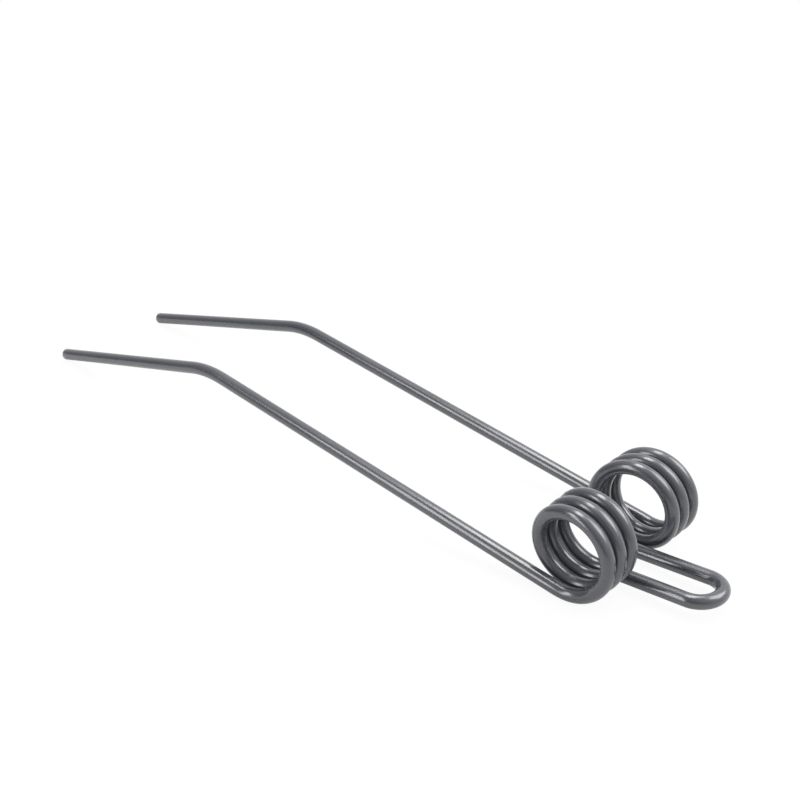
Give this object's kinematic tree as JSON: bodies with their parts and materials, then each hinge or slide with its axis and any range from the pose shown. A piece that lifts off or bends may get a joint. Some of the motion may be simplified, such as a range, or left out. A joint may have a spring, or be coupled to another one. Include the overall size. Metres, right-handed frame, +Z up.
{
  "type": "double torsion spring",
  "caption": "Double torsion spring bent from one round wire: two coils joined by a hairpin, each running into a long arm with a gently bent straight tip.",
  "frame": {"origin": "midway between the two coils, at the height of the middle of their bores", "axes": "+X points from the coils towards the hairpin and the arms run towards -X; +Y runs across through both coils; +Z is up from the floor that the coils and both tips lie on"},
  "size_m": [0.5121, 0.0942, 0.055],
  "materials": {
    "wire": "smooth semi-gloss anthracite grey coating over spring steel"
  },
  "bodies": {
    "root": {"spring_wire": "wire"}
  },
  "joints": []
}
